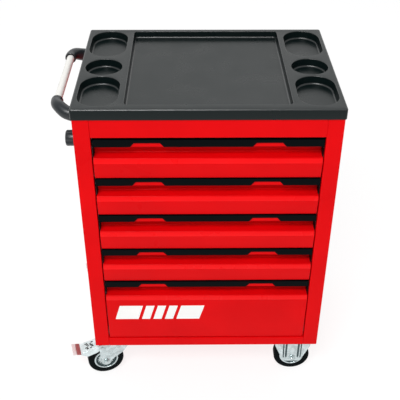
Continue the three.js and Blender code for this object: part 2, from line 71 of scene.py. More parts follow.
# ---------------------------------------------------------------- materials
def surface(name, colour, roughness, metallic=0.0, mottle=0.06, mottle_scale=9, grain=0.0,
            grain_scale=900, rough_spread=0.06, specular=0.5, stretch=(1, 1, 1)):
    """A procedural finish: slow mottling of colour and roughness, and a fine grain in the normal."""
    material = bpy.data.materials.new(name)
    material.use_nodes = True
    nodes, links = material.node_tree.nodes, material.node_tree.links
    shader = nodes["Principled BSDF"]
    shader.inputs["Metallic"].default_value = metallic
    shader.inputs["Specular IOR Level"].default_value = specular
    place = nodes.new("ShaderNodeTexCoord")
    mapping = nodes.new("ShaderNodeMapping")
    mapping.inputs["Scale"].default_value = stretch
    links.new(place.outputs["Object"], mapping.inputs["Vector"])

    def noise(scale, detail):
        """A noise texture in the object's own coordinates."""
        texture = nodes.new("ShaderNodeTexNoise")
        texture.inputs["Scale"].default_value = scale
        texture.inputs["Detail"].default_value = detail
        links.new(mapping.outputs["Vector"], texture.inputs["Vector"])
        return texture.outputs["Fac"]

    slow = noise(mottle_scale, 3)
    ramp = nodes.new("ShaderNodeValToRGB")
    dark, light = ramp.color_ramp.elements
    dark.position, light.position = 0.3, 0.7
    dark.color = (*[c * (1 - mottle) for c in colour], 1)
    light.color = (*[min(1, c * (1 + mottle)) for c in colour], 1)
    links.new(slow, ramp.inputs["Fac"])
    links.new(ramp.outputs["Color"], shader.inputs["Base Color"])

    spread = nodes.new("ShaderNodeMapRange")
    spread.inputs["From Min"].default_value = dark.position
    spread.inputs["From Max"].default_value = light.position
    spread.inputs["To Min"].default_value = max(0.02, roughness - rough_spread)
    spread.inputs["To Max"].default_value = min(1, roughness + rough_spread)
    links.new(slow, spread.inputs["Value"])
    links.new(spread.outputs["Result"], shader.inputs["Roughness"])
    if grain:
        bump = nodes.new("ShaderNodeBump")
        bump.inputs["Strength"].default_value = grain
        bump.inputs["Distance"].default_value = 0.0002
        links.new(noise(grain_scale, 2), bump.inputs["Height"])
        links.new(bump.outputs["Normal"], shader.inputs["Normal"])
    return material


RED = surface("red_powder_coat", (0.675, 0.0014, 0.0032), 0.32, mottle=0.06, mottle_scale=6,
              grain=0.12, grain_scale=500, specular=0.05)
# A lighter, glossier copy of the red for faces that tilt upwards: painted highlight where the front light
# falls.
RED_HIGHLIGHT = surface("red_painted_highlight", (0.8, 0.002, 0.004), 0.3, mottle=0.03, grain=0.12,
                   grain_scale=500, specular=0.22)
TRAY = surface("worktop_plastic", (0.0028, 0.0068, 0.007), 0.29, mottle=0.05, mottle_scale=14,
               grain=0.35, grain_scale=1400, specular=0.19, rough_spread=0.03)
# A lighter, glossier copy of the tray plastic for the rounds that tilt towards the front light: painted
# highlight.
TRAY_HIGHLIGHT = surface("worktop_painted_highlight", (0.004, 0.0075, 0.008), 0.4, mottle=0.05, specular=0.85,
                    rough_spread=0.015)
BLACK = surface("black_plastic", (0.011, 0.015, 0.018), 0.36, grain=0.2, grain_scale=1200)
STRIP = surface("pull_strip_plastic", (0.001, 0.0022, 0.0028), 0.42, grain=0.15, grain_scale=1200,
                specular=0.04)
TUBE = surface("light_tube_coating", (0.76, 0.75, 0.72), 0.45, mottle=0.02, grain=0.08, specular=0.25)
ZINC = surface("bright_zinc", (0.56, 0.64, 0.65), 0.24, metallic=0.88, mottle=0.28, mottle_scale=70,
               grain=0.15, grain_scale=350, rough_spread=0.1)
PEDAL_ZINC = surface("pedal_zinc", (0.7, 0.79, 0.8), 0.34, metallic=0.6, mottle=0.16,
                     mottle_scale=60, grain=0.15)
# Dark zinc laid in the wheels' grooves and beside the brackets' pressed ribs: painted shade.
ZINC_SHADE = surface("shaded_zinc", (0.05, 0.08, 0.085), 0.45, metallic=0.6, mottle=0.15,
                    mottle_scale=60, grain=0.2)
STEEL = surface("rolled_steel", (0.5, 0.52, 0.53), 0.34, metallic=0.95, mottle=0.07,
                mottle_scale=30, grain=0.25, grain_scale=260, stretch=(1, 0.06, 1))
RUBBER = surface("tyre_rubber", (0.0015, 0.0035, 0.004), 0.7, mottle=0.15, grain=0.5,
                 grain_scale=800, specular=0.06)
PEDAL_RED = surface("pedal_pad", (0.38, 0.1, 0.1), 0.5, mottle=0.08, grain=0.3)
PEDAL_TIP = surface("pedal_tip", (0.74, 0.66, 0.66), 0.45, mottle=0.04, grain=0.2)
LINER = surface("drawer_liner", (0.03, 0.031, 0.033), 0.8, mottle=0.12, grain=0.9, grain_scale=420)
DECAL = surface("white_mark", (0.9, 0.9, 0.88), 0.42, mottle=0.02, grain=0.05)
# Near black for the inside of the elbows' mouths and the pedal's dimples: painted shade.
RECESS_SHADE = surface("painted_recess_shade", (0.008, 0.008, 0.009), 0.7, mottle=0.1)
FLOOR = surface("pale_floor", (0.2, 0.2, 0.2), 0.85, mottle=0.01, mottle_scale=2, specular=0.2)


# ---------------------------------------------------------------- mesh building
# Where a point (a, b) of a section lies in space, a distance t along the axis.
LIFT = {
    "x": lambda a, b, t: (t, a, b),
    "y": lambda a, b, t: (a, t, b),
    "z": lambda a, b, t: (a, b, t),
}


def piece(name, bm, material, body, place=None, replaces=(), smooth_degrees=38, bevel=0.0):
    """Turns a bmesh in millimetres into a piece that rides on a CAD body."""
    bmesh.ops.remove_doubles(bm, verts=bm.verts, dist=1e-4)
    bmesh.ops.recalc_face_normals(bm, faces=bm.faces)
    bm.transform(CABINET @ (place or Matrix()))
    for face in bm.faces:
        face.smooth = True
    for edge in bm.edges:
        sharp = len(edge.link_faces) == 2 and edge.calc_face_angle(0) >= math.radians(smooth_degrees)
        edge.smooth = not sharp
    mesh = bpy.data.meshes.new(name)
    bm.to_mesh(mesh)
    bm.free()
    mesh.materials.append(material)
    made = bpy.data.objects.new(name, mesh)
    bpy.context.scene.collection.objects.link(made)
    if bevel:
        round_edges(made, bevel)
    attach(made, body)
    if replaces:
        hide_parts(*replaces)
    return made


def paint_highlight(made, material, tilt):
    """Paints a highlight: faces that look partly upwards, between the two tilts, get a lighter, glossier
    copy of the finish, where the front light falls.
    """
    least_tilt, most_tilt = tilt
    made.data.materials.append(material)
    for face in made.data.polygons:
        if least_tilt < face.normal.z < most_tilt:
            face.material_index = 1


def round_edges(target, width, segments=3):
    """Rounds the sharp edges by a width in millimetres."""
    bevel = target.modifiers.new("round", "BEVEL")
    bevel.width = width * MM
    bevel.segments = segments
    bevel.limit_method = "ANGLE"
    bevel.angle_limit = math.radians(35)
    bevel.harden_normals = True
    bevel.use_clamp_overlap = True


def dress(node, material, bevel):
    """Shows a CAD node as it is, with a finish and rounded edges."""
    cad = frame["nodes"][node]
    cad.data.materials.clear()
    cad.data.materials.append(material)
    normals = cad.data.attributes.get("custom_normal")
    if normals:
        cad.data.attributes.remove(normals)
    for polygon in cad.data.polygons:
        polygon.use_smooth = False
    weld = cad.modifiers.new("weld", "WELD")
    weld.merge_threshold = 1e-6
    flat = cad.modifiers.new("flatten", "DECIMATE")
    flat.decimate_type = "DISSOLVE"
    flat.angle_limit = math.radians(1)
    round_edges(cad, bevel, 2)


def loft(bm, rings, caps=True):
    """Joins closed rings of equal length by quads."""
    layers = [[bm.verts.new(point) for point in ring] for ring in rings]
    count = len(layers[0])
    for low, high in zip(layers, layers[1:]):
        for i in range(count):
            j = (i + 1) % count
            bm.faces.new((low[i], low[j], high[j], high[i]))
    if caps:
        bm.faces.new(layers[0])
        bm.faces.new(layers[-1])
    return layers


def prism(bm, outline, axis, low, high):
    """Extrudes an outline given in the plane (y, z), (x, z) or (x, y) along axis x, y or z."""
    lift = LIFT[axis]
    loft(bm, [[lift(a, b, t) for a, b in outline] for t in (low, high)])


def turn(bm, profile, segments=48, axis="z", closed=False, centre=(0, 0, 0), wave=None):
    """Turns (radius, height) points about an axis. A closed profile makes a ring, an open one gets flat
    ends, and wave(radius, angle, height) adds to the height."""
    lift = LIFT[axis]
    columns = []
    for k in range(segments):
        angle = 2 * math.pi * k / segments
        column = []
        for radius, height in profile:
            height += wave(radius, angle, height) if wave else 0
            point = lift(radius * math.cos(angle), radius * math.sin(angle), height)
            column.append(bm.verts.new(Vector(point) + Vector(centre)))
        columns.append(column)
    count = len(profile)
    for k in range(segments):
        here, there = columns[k], columns[(k + 1) % segments]
        for i in range(count if closed else count - 1):
            j = (i + 1) % count
            bm.faces.new((here[i], here[j], there[j], there[i]))
    if not closed:
        for end in (0, -1):
            bm.faces.new([column[end] for column in columns])


def rounded(points, radius, closed=False):
    """Rounds the corners of a path. A point may carry its own radius as a third value."""
    count, steps = len(points), 5
    made = []
    for i, point in enumerate(points):
        here = Vector(point[:2])
        reach = point[2] if len(point) > 2 else radius
        if (not closed and i in (0, count - 1)) or reach == 0:
            made.append(here)
            continue
        before, after = Vector(points[i - 1][:2]), Vector(points[(i + 1) % count][:2])
        into, out = (here - before), (after - here)
        bend = abs(into.angle_signed(out)) / 2
        # A corner takes just under half of each side, so that it never meets the next one.
        cut = min(reach * math.tan(bend), into.length * 0.49, out.length * 0.49)
        start, end = here - into.normalized() * cut, here + out.normalized() * cut
        for k in range(steps + 1):
            t = k / steps
            made.append(start.lerp(here, t).lerp(here.lerp(end, t), t))
    return [(p.x, p.y) for p in made]


def sheet(path, thickness, radius):
    """The outline of a bent sheet: the path, and the path moved to its right by the thickness."""
    points = [Vector(p) for p in rounded(path, radius)]
    moved = []
    for i, point in enumerate(points):
        into = (point - points[i - 1]).normalized() if i else (points[1] - point).normalized()
        out = (points[i + 1] - point).normalized() if i + 1 < len(points) else into
        to_right = Vector((into.y, -into.x))
        side = (to_right + Vector((out.y, -out.x))).normalized()
        # The divisor's lower limit keeps a very sharp bend from running out to a long point.
        moved.append(point + side * (thickness / max(0.3, side.dot(to_right))))
    return [tuple(p) for p in points + moved[::-1]]


def rounded_box_outline(x0, x1, y0, y1, radius, steps=8):
    """A rectangle with round corners, anticlockwise."""
    corners = [(x1 - radius, y0 + radius, -90), (x1 - radius, y1 - radius, 0),
               (x0 + radius, y1 - radius, 90), (x0 + radius, y0 + radius, 180)]
    outline = []
    for x, y, start in corners:
        for k in range(steps + 1):
            angle = math.radians(start + 90 * k / steps)
            outline.append((x + radius * math.cos(angle), y + radius * math.sin(angle)))
    return outline


def catmull(points, steps):
    """A smooth curve through points."""
    points = [Vector(p) for p in points]
    padded = [points[0], *points, points[-1]]
    line = []
    for p0, p1, p2, p3 in zip(padded, padded[1:], padded[2:], padded[3:]):
        for k in range(steps):
            t = k / steps
            line.append(0.5 * (2 * p1 + (p2 - p0) * t + (2 * p0 - 5 * p1 + 4 * p2 - p3) * t**2
                               + (3 * p1 - p0 - 3 * p2 + p3) * t**3))
    return line + [points[-1]]


def sweep(bm, line, radii, end_along):
    """Circles of the given radii along a line that ends in a given direction."""
    segments = 32
    rings = []
    up = Vector((0, 0, 1))
    last = len(line) - 1
    for i, point in enumerate(line):
        along = (line[min(i + 1, last)] - line[max(i - 1, 0)]).normalized()
        if i == last:
            along = Vector(end_along)
        side = along.cross(up).normalized()
        over = side.cross(along)
        rings.append([point + (side * math.cos(a) + over * math.sin(a)) * radii[i]
                      for a in (2 * math.pi * k / segments for k in range(segments))])
    loft(bm, rings)


# ---------------------------------------------------------------- cabinet
SHEET = 1.2
RETURN = 14
HEADER_RETURN = 8
BEND = 2.2
REAR_FLANGE = 18
RIVET = {"count": 6, "first": 40, "pitch": 126, "inset": 9}
PANEL_LOW, PANEL_HIGH = span("side_panel_right")
SIDE, DEPTH = PANEL_HIGH.x, PANEL_HIGH.y
STILE = PANEL_LOW.x


def build_shell():
    """Bent side panels with the stiles, header and sill rails, and the plain inner panels."""
    for side, name in ((-1, "side_panel_left"), (1, "side_panel_right")):
        path = [(STILE, RETURN), (STILE, 0), (SIDE, 0), (SIDE, DEPTH), (SIDE - REAR_FLANGE, DEPTH)]
        outline = [(side * x, y) for x, y in sheet(path, -SHEET, BEND)]
        bm = bmesh.new()
        prism(bm, outline, "z", 0, PANEL_HIGH.z)
        piece(f"{name}_shell", bm, RED, "cabinet", replaces=[name])
    low, high = span("header_rail")
    build_rail("header", [(RETURN, low.z), (0, low.z), (0, high.z), (HEADER_RETURN, high.z)], low.x, high.x)
    low, high = span("sill_rail")
    build_rail("sill", [(0, low.z), (0, high.z), (RETURN, high.z)], low.x, high.x)
    for node in ("base_panel", "back_panel"):
        dress(node, RED, bevel=0.3)
    for node in ("inner_wall_left", "inner_wall_right"):
        dress(node, STEEL, bevel=0.25)


def build_rail(name, path, left, right):
    """A bent rail between the stiles, its section given as (y, z)."""
    bm = bmesh.new()
    prism(bm, sheet(path, SHEET, BEND), "x", left, right)
    piece(f"{name}_shell", bm, RED, "cabinet", replaces=[f"{name}_rail"])


def build_back_rivets():
    """Rivets up the rear flanges."""
    bm = bmesh.new()
    for side in (-1, 1):
        for k in range(RIVET["count"]):
            centre = (side * (SIDE - RIVET["inset"]), DEPTH, RIVET["first"] + RIVET["pitch"] * k)
            turn(bm, [(3.6, 0), (3.4, 0.6), (2.4, 1.2), (0.8, 1.5)], 16, "y", centre=centre)
    piece("back_rivets", bm, ZINC, "cabinet")


# ---------------------------------------------------------------- work-top tray
RECESS = {"half": 191, "front": 22, "back": 440, "corner": 9, "depth": 18, "floor_round": 4.4}
CUP = {"x": 253, "depth": 21, "floor_round": 4.6}
# Each cup's front, back and half width. The corner radius is nearly the half width, so the ends are round.
CUPS = ((14.5, 165.5, 47), (174, 264, 45), (280.5, 440.5, 47))
TRAY_RIM = {"round": 4, "steps": 8, "corner": 6, "wall": 2.5}
POCKET_RIM = 1.8
POCKET_DRAFT = 1.2
# Faces tilted this far upwards get the tray's painted highlight.
HIGHLIGHT_ROUND_TILT = (0.25, 0.96)


def tray_pocket(bm, sides, corner, deep, floor_round, top):
    """One pocket: rolled rim, drafted wall, round floor edge. Returns its rim loop."""
    x0, x1, y0, y1 = sides
    steps = 6
    quarter = [math.pi / 2 * k / steps for k in range(steps + 1)]
    section = [(-POCKET_RIM * (1 - math.sin(a)), -POCKET_RIM * (1 - math.cos(a))) for a in quarter]
    section += [(POCKET_DRAFT + floor_round * (1 - math.cos(a)), -deep + floor_round * (1 - math.sin(a)))
                for a in quarter]
    rings = []
    for inset, height in section:
        outline = rounded_box_outline(x0 + inset, x1 - inset, y0 + inset, y1 - inset,
                                      max(corner - inset, 0.6), 12)
        rings.append([(x, y, top + height) for x, y in outline])
    layers = loft(bm, rings, caps=False)
    bm.faces.new(layers[-1])
    return layers[0]


def tray_skirt(bm, low, high):
    """The rounded rim and the hollow skirt round the tray. Returns its inner top loop."""
    bend, steps, wall = TRAY_RIM["round"], TRAY_RIM["steps"], TRAY_RIM["wall"]
    quarter = [math.pi / 2 * k / steps for k in range(steps + 1)]
    section = [(bend * (1 - math.sin(a)), -bend * (1 - math.cos(a))) for a in quarter]
    tall = high.z - low.z
    section += [(0, -tall + 1), (0.4, -tall + 0.2), (1, -tall), (wall - 0.3, -tall), (wall, -tall + 1),
                (wall, -5)]
    rings = []
    for inset, height in section:
        outline = rounded_box_outline(low.x + inset, high.x - inset, low.y + inset, high.y - inset,
                                      max(TRAY_RIM["corner"] - inset, 1))
        rings.append([(x, y, high.z + height) for x, y in outline])
    return loft(bm, rings, caps=False)[0]


def build_tray():
    """The moulded work top: a flat top pierced by the recess and six cups, and its skirt."""
    low, high = span("worktop_tray")
    bm = bmesh.new()
    recess = (-RECESS["half"], RECESS["half"], RECESS["front"], RECESS["back"])
    loops = [tray_pocket(bm, recess, RECESS["corner"], RECESS["depth"], RECESS["floor_round"], high.z)]
    for side in (-1, 1):
        x = side * CUP["x"]
        for front, back, wide in CUPS:
            loops.append(tray_pocket(bm, (x - wide, x + wide, front, back), wide - 0.05,
                                     CUP["depth"], CUP["floor_round"], high.z))
    loops.append(tray_skirt(bm, low, high))
    edges = [bm.edges.get((vert, loop[(i + 1) % len(loop)]))
             for loop in loops for i, vert in enumerate(loop)]
    bmesh.ops.triangle_fill(bm, use_beauty=True, edges=edges, normal=(0, 0, 1))
    moulding = piece("worktop_moulding", bm, TRAY, "cabinet", replaces=["worktop_tray"])
    # Painted highlight: the rounds that tilt towards the front light get a lighter, glossier plastic.
    paint_highlight(moulding, TRAY_HIGHLIGHT, HIGHLIGHT_ROUND_TILT)


# ---------------------------------------------------------------- drawers
# A drawer front's section: y from the cabinet's front, z from the top of its pull strip.
POCKET = {"depth": 27, "back": -47.5, "front": -49, "ridge": -62, "lip": 18.5, "top": -2.7, "round": 3}
BULGE = 3
LIP_BACK = 3.6
LOWER_RETURN = 20
# Where the dark sheets lie across the finger pocket's open ends: painted shade.
POCKET_END_SHADE = {"front": 5, "rear": 26.6, "top": -3.2, "bottom": -46.6, "outside": 0.2, "inside": 1.4}
LINER_PAD = {"half": 250, "margin": 5, "corner": 4, "under": 0.1, "over": 1.9}
MARK = {"left": -246, "bottom": -133, "tall": 50, "lean": 14, "gap": 9, "bars": (62, 22, 22, 22, 62)}
PAINT_LEVELS = (0.02, 0.14)
# Faces tilted this far upwards get the red's painted highlight.
HIGHLIGHT_BAND_TILT = (0.08, 0.33)
DRAWERS = sum(node.startswith("drawer_front_") for node in frame["nodes"])


def drawer_path(height):
    """From the lower return, up the sloped face and over the ridge, to the lip."""
    deep, top, bend = POCKET["depth"], POCKET["top"], POCKET["round"]
    return [(LOWER_RETURN, -height), (BULGE, -height, 1.6), (-BULGE, POCKET["ridge"], 3.2),
            (1, POCKET["front"], bend), (deep, POCKET["back"], bend), (deep, top, 2), (LIP_BACK, top, 1),
            (LIP_BACK, -POCKET["lip"])]


def drawer_size(number):
    """A drawer front's height, half width and top, with its pull strip."""
    low, high = span(f"drawer_front_{number}")
    top = span(f"drawer_pull_trim_{number}")[1].z
    return top - low.z, high.x, top


def build_drawer_face(number):
    """The bent front sheet, and a cheek at each end below the finger pocket."""
    height, wide, top = drawer_size(number)
    path = drawer_path(height)
    bm = bmesh.new()
    prism(bm, [(y, z + top) for y, z in sheet(path, SHEET, 2)], "x", -wide, wide)
    front = [(y + SHEET / 2, z) for y, z in rounded(path, 2)
             if z < POCKET["back"] and y < POCKET["depth"] - POCKET["round"]]
    rear = [(POCKET["depth"], POCKET["back"] - 1), (POCKET["depth"], -height + SHEET / 2)]
    cheek = [(y, z + top) for y, z in front + rear]
    for x in (-wide, wide - SHEET):
        prism(bm, cheek, "x", x, x + SHEET)
    face = piece(f"drawer_face_{number}", bm, RED, f"drawer_{number}",
                 replaces=[f"drawer_front_{number}"])
    # Painted highlight: the upward-tilted band under the finger pocket gets a lighter, glossier red.
    paint_highlight(face, RED_HIGHLIGHT, HIGHLIGHT_BAND_TILT)


def build_pocket_end_shade(number):
    """Dark sheets of the strip's plastic across the two ends of the finger pocket: painted shade where its
    ends are open.
    """
    _, wide, top = drawer_size(number)
    front, rear = POCKET_END_SHADE["front"], POCKET_END_SHADE["rear"]
    low, high = top + POCKET_END_SHADE["bottom"], top + POCKET_END_SHADE["top"]
    cap = [(front, high), (rear, high), (rear, low), (front, low)]
    bm = bmesh.new()
    for side in (-1, 1):
        prism(bm, cap, "x", side * (wide - POCKET_END_SHADE["inside"]), side * (wide - POCKET_END_SHADE["outside"]))
    piece(f"pocket_end_shade_{number}", bm, STRIP, f"drawer_{number}")


def build_liner(number):
    """A thin mat on the drawer's floor."""
    low, high = span(f"drawer_box_{number}")
    half_mat, margin, floor = LINER_PAD["half"], LINER_PAD["margin"], low.z + SHEET
    outline = rounded_box_outline(-half_mat, half_mat, low.y + margin, high.y - margin,
                                  LINER_PAD["corner"], 4)
    bm = bmesh.new()
    prism(bm, outline, "z", floor + LINER_PAD["under"], floor + LINER_PAD["over"])
    piece(f"drawer_liner_{number}", bm, LINER, f"drawer_{number}", bevel=0.5)


def build_drawer(number):
    """A drawer: its front, pull strip, box, liner and slide members."""
    build_drawer_face(number)
    build_pocket_end_shade(number)
    dress(f"drawer_pull_trim_{number}", STRIP, bevel=0.6)
    dress(f"drawer_box_{number}", RED, bevel=0.3)
    for side in ("left", "right"):
        dress(f"slide_middle_{side}_{number}", STEEL, bevel=0.2)
    build_liner(number)


def build_mark():
    """A row of slanted white bars on the deep drawer's sloped face."""
    height, _, top = drawer_size(DRAWERS)
    ridge = POCKET["ridge"]
    slope = 2 * BULGE / (height + ridge)
    lean, tall = MARK["lean"], MARK["tall"]
    bm = bmesh.new()
    x = MARK["left"]
    for width in MARK["bars"]:
        corners = []
        for right, rise in ((0, 0), (width, 0), (width + lean, tall), (lean, tall)):
            z = MARK["bottom"] + rise
            corners.append((x + right, -BULGE + slope * (ridge - z), z + top))
        loft(bm, [[(cx, cy - level, cz) for cx, cy, cz in corners] for level in PAINT_LEVELS])
        x += width + MARK["gap"]
    piece("drawer_mark", bm, DECAL, f"drawer_{DRAWERS}")


# ---------------------------------------------------------------- handle and lock
ELBOW = {"sleeve": 13, "arm": 13.1, "mouth": 12.8, "collar": 0.8, "swell": 5, "flange": 17}
LOCK_NOTCHES = {"count": 4, "depth": 2.8}


def build_handle():
    """The light tube and its two black elbows."""
    low, high = span("handle_tube")
    x, z = (low.x + high.x) / 2, (low.z + high.z) / 2
    radius = (high.x - low.x) / 2
    bm = bmesh.new()
    turn(bm, [(radius - 1, low.y), (radius, low.y + 1), (radius, high.y - 1), (radius - 1, high.y)],
         48, "y", centre=(x, 0, z))
    piece("handle_bar", bm, TUBE, "cabinet", replaces=["handle_tube"])
    build_elbow("handle_elbow_front", -1, (x, low.y + ELBOW["sleeve"], z))
    build_elbow("handle_elbow_rear", 1, (x, high.y - ELBOW["sleeve"], z))


def build_elbow(node, direction, mouth):
    """A bent arm from its mouth round the tube to a flange on the side panel."""
    low, high = span(node)
    wall, flange = high.x, ELBOW["flange"]
    foot_y = (low.y + flange) if direction < 0 else (high.y - flange)
    foot_z = low.z + flange
    x, y, z = mouth
    line = catmull([
        (x, y, z),
        (x + 0.5, y + direction * 16, z),
        (x + 9, foot_y - direction * 15, z - 1),
        (x + 24, foot_y - direction * 3, foot_z + 4),
        (wall - 5, foot_y, foot_z),
        (wall, foot_y, foot_z),
    ], 10)
    last = len(line) - 1
    radii = [ELBOW["arm"] + (ELBOW["collar"] if i < 6 else 0) + ELBOW["swell"] * i / last
             for i in range(last + 1)]
    radii[0] = ELBOW["mouth"]
    bm = bmesh.new()
    sweep(bm, line, radii, end_along=(1, 0, 0))
    turn(bm, [(10, wall - 6), (flange - 2, wall - 6), (flange - 0.5, wall - 5), (flange, wall - 3.5),
              (flange, wall), (10, wall)], 40, "x", closed=True, centre=(0, foot_y, foot_z))
    piece(f"{node}_moulding", bm, BLACK, "cabinet", replaces=[node])
    bm = bmesh.new()
    # A near-black ring in the elbow's mouth round the tube: painted shade.
    turn(bm, [(10.4, -0.4), (13, -0.4), (13, 0.3), (10.4, 0.3)], 40, "y", closed=True, centre=mouth)
    piece(f"{node}_mouth_shade", bm, RECESS_SHADE, "cabinet")


def build_lock():
    """The round housing with notches in its rim and a collar at the panel, and the CAD's barrel and bar."""
    low, high = span("lock_housing")
    y, z = (low.y + high.y) / 2, (low.z + high.z) / 2
    radius = (high.y - low.y) / 2
    face, wall = low.x, -SIDE
    bore = [(8.6, wall - 1), (8.6, face + 2), (10, face + 0.6), (12.2, face + 0.6), (13, face)]
    knob = [(radius - 3.5, face), (radius - 1.2, face + 1), (radius, face + 3.2), (radius, wall - 7)]
    collar = [(radius, wall - 4.2), (radius - 1.2, wall - 3.6), (radius - 1.2, wall - 2.8),
              (radius, wall - 2.2), (radius, wall - 0.2), (9, wall - 0.2)]
    segments = 120
    rings = []
    for reach, height in bore + knob + collar + bore[:1]:
        notched = reach > radius - 2 and height < wall - 5
        ring = []
        for k in range(segments):
            angle = 2 * math.pi * k / segments
            wave = max(0, math.cos(LOCK_NOTCHES["count"] * angle))
            r = reach - (wave**2 * LOCK_NOTCHES["depth"] if notched else 0)
            ring.append((height, y + r * math.cos(angle), z + r * math.sin(angle)))
        rings.append(ring)
    bm = bmesh.new()
    loft(bm, rings, caps=False)
    piece("lock_body", bm, BLACK, "cabinet", replaces=["lock_housing"])
    dress("lock_barrel", ZINC, bevel=0.3)
    dress("lock_bar", ZINC, bevel=0.3)


# ---------------------------------------------------------------- casters
# Each caster is built round its own axis, with z = 0 at the cabinet's bottom.
PLATE = {"length": 102, "width": 84, "thickness": 2.5, "gap": 0.3, "corner": 8}
BOLT = {"x": 40, "y": 32, "washer": 7, "across_flats": 10.5}
LEG = {"inner": 20.2, "wall": 2.5, "boss": 14}
LEG_OUTSIDE = LEG["inner"] + LEG["wall"]
# The axle's turned parts end in small flat caps of this radius.
CORE = 0.6
CROWN_TOP = -13
CROWN_WALL = 2.5
RIM_SEAT = 34.4
SCALLOPS = {"count": 18, "radius": 24, "spread": 4.2, "height": 2.4}
TYRE_LOW, TYRE_HIGH = span("tyre_front_right")
TYRE_RADIUS, TYRE_SIDE = (TYRE_HIGH.z - TYRE_LOW.z) / 2, (TYRE_HIGH.y - TYRE_LOW.y) / 2
AXLE_DROP = -joint_place("wheel_front_right_spin").z


def bottom_plate(bm):
    """The mounting plate, a little below the cabinet's bottom."""
    long, wide = PLATE["length"] / 2, PLATE["width"] / 2
    outline = rounded_box_outline(-long, long, -wide, wide, PLATE["corner"], 6)
    prism(bm, outline, "z", -PLATE["gap"] - PLATE["thickness"], -PLATE["gap"])


def plate_bolts(name, place, body):
    """Four washers with hexagon heads under the mounting plate."""
    corner = BOLT["across_flats"] / math.sqrt(3)
    washer = [(BOLT["washer"], 0), (BOLT["washer"], -1), (0.5, -1)]
    head = [(0.5, -1.1), (corner, -1.1), (corner, -4.7), (corner - 1, -5.5), (0.5, -5.5)]
    bm = bmesh.new()
    for x in (-BOLT["x"], BOLT["x"]):
        for y in (-BOLT["y"], BOLT["y"]):
            centre = (x, y, -PLATE["gap"] - PLATE["thickness"])
            turn(bm, washer, 24, centre=centre)
            turn(bm, head, 6, centre=centre)
    piece(f"{name}_plate_bolts", bm, STEEL, body, place, smooth_degrees=25)


def leg_pair(bm, outline):
    """Two upright plates, one on each side of the wheel."""
    for side in (-1, 1):
        prism(bm, outline, "y", side * LEG["inner"], side * LEG_OUTSIDE)


def pressed_rib(bm, start, end, width, height, side):
    """A half-round rib along a line in the (x, z) plane of a leg's outer face."""
    a, b = Vector(start), Vector(end)
    along = (b - a).normalized()
    across = Vector((-along.y, along.x))
    steps, facets, sunk = 14, 8, 0.3
    rings = []
    for k in range(steps + 1):
        t = k / steps
        ease = math.sqrt(max(0, 1 - (2 * t - 1) ** 6))
        centre = a.lerp(b, t)
        ring = []
        for m in range(facets + 1):
            angle = math.pi * m / facets
            place = centre + across * (math.cos(angle) * width / 2 * max(ease, 0.05))
            out = LEG_OUTSIDE - sunk + math.sin(angle) * height * ease
            ring.append((place.x, side * out, place.y))
        rings.append(ring)
    loft(bm, rings)


def axle_discs(bm, x):
    """A raised disc round the axle on each leg."""
    for side in (-1, 1):
        low, high = side * (LEG_OUTSIDE - 0.2), side * (LEG_OUTSIDE + 0.28)
        turn(bm, [(0.5, low), (11, low), (10.4, high), (0.5, high)], 32, "y", centre=(x, 0, -AXLE_DROP))


def axle(name, at_axle, body):
    """The wheel's bolt: shank and head, and on the other side a washer, a nut and the bolt's end."""
    outside = LEG_OUTSIDE + 0.3
    washer = [(CORE, -1.2), (9, -1.2), (9.4, -0.6), (9, 0), (CORE, 0)]
    nut = [(CORE, -5), (6.2, -5), (7.5, -4.2), (7.5, -1.2), (CORE, -1.2)]
    thread = [(CORE, -6.6), (3.4, -6.6), (4.1, -5.8), (4.1, -4.6), (CORE, -4.6)]
    head = [(CORE, 0), (7.7, 0), (7.7, 4.2), (6.4, 5.4), (CORE, 5.4)]
    bm = bmesh.new()
    for profile, side, segments in ((washer, -1, 32), (nut, -1, 6), (thread, -1, 20), (head, 1, 6)):
        turn(bm, [(r, side * outside + out) for r, out in profile], segments, "y")
    turn(bm, [(CORE, -outside), (4.9, -outside), (4.9, outside), (CORE, outside)], 24, "y")
    piece(f"{name}_axle", bm, ZINC, body, at_axle, replaces=[f"axle_bolt_{name}"],
          smooth_degrees=25)


def scallop(radius, angle, height):
    """How far the scallops raise the wheel's web, outwards on both of its faces."""
    near = math.exp(-(((radius - SCALLOPS["radius"]) / SCALLOPS["spread"]) ** 2))
    wave = math.cos(SCALLOPS["count"] / 2 * angle)
    return math.copysign(SCALLOPS["height"] * near * wave, height)


def groove_wave(radius, angle, height):
    """The web's own scallops and a little more, so that the groove's painted shade lies on the web."""
    return scallop(radius, angle, height) + math.copysign(0.1, height)


def tyre_profile():
    """One half of the tyre's section, from its seat on the rim to the tread, then mirrored."""
    seat, shoulder = RIM_SEAT, 5
    half_profile = [(seat, -TYRE_SIDE + 1.2), (seat + 2, -TYRE_SIDE + 0.5), (seat + 7, -TYRE_SIDE + 0.05),
                    (TYRE_RADIUS - shoulder, -TYRE_SIDE + 0.1)]
    for k in range(1, 9):
        angle = math.pi / 2 * k / 8
        half_profile.append((TYRE_RADIUS - shoulder + shoulder * math.sin(angle),
                             -TYRE_SIDE + 6 - 5.9 * math.cos(angle)))
    half_profile.append((TYRE_RADIUS, -3))
    return half_profile + [(r, -t) for r, t in reversed(half_profile)]


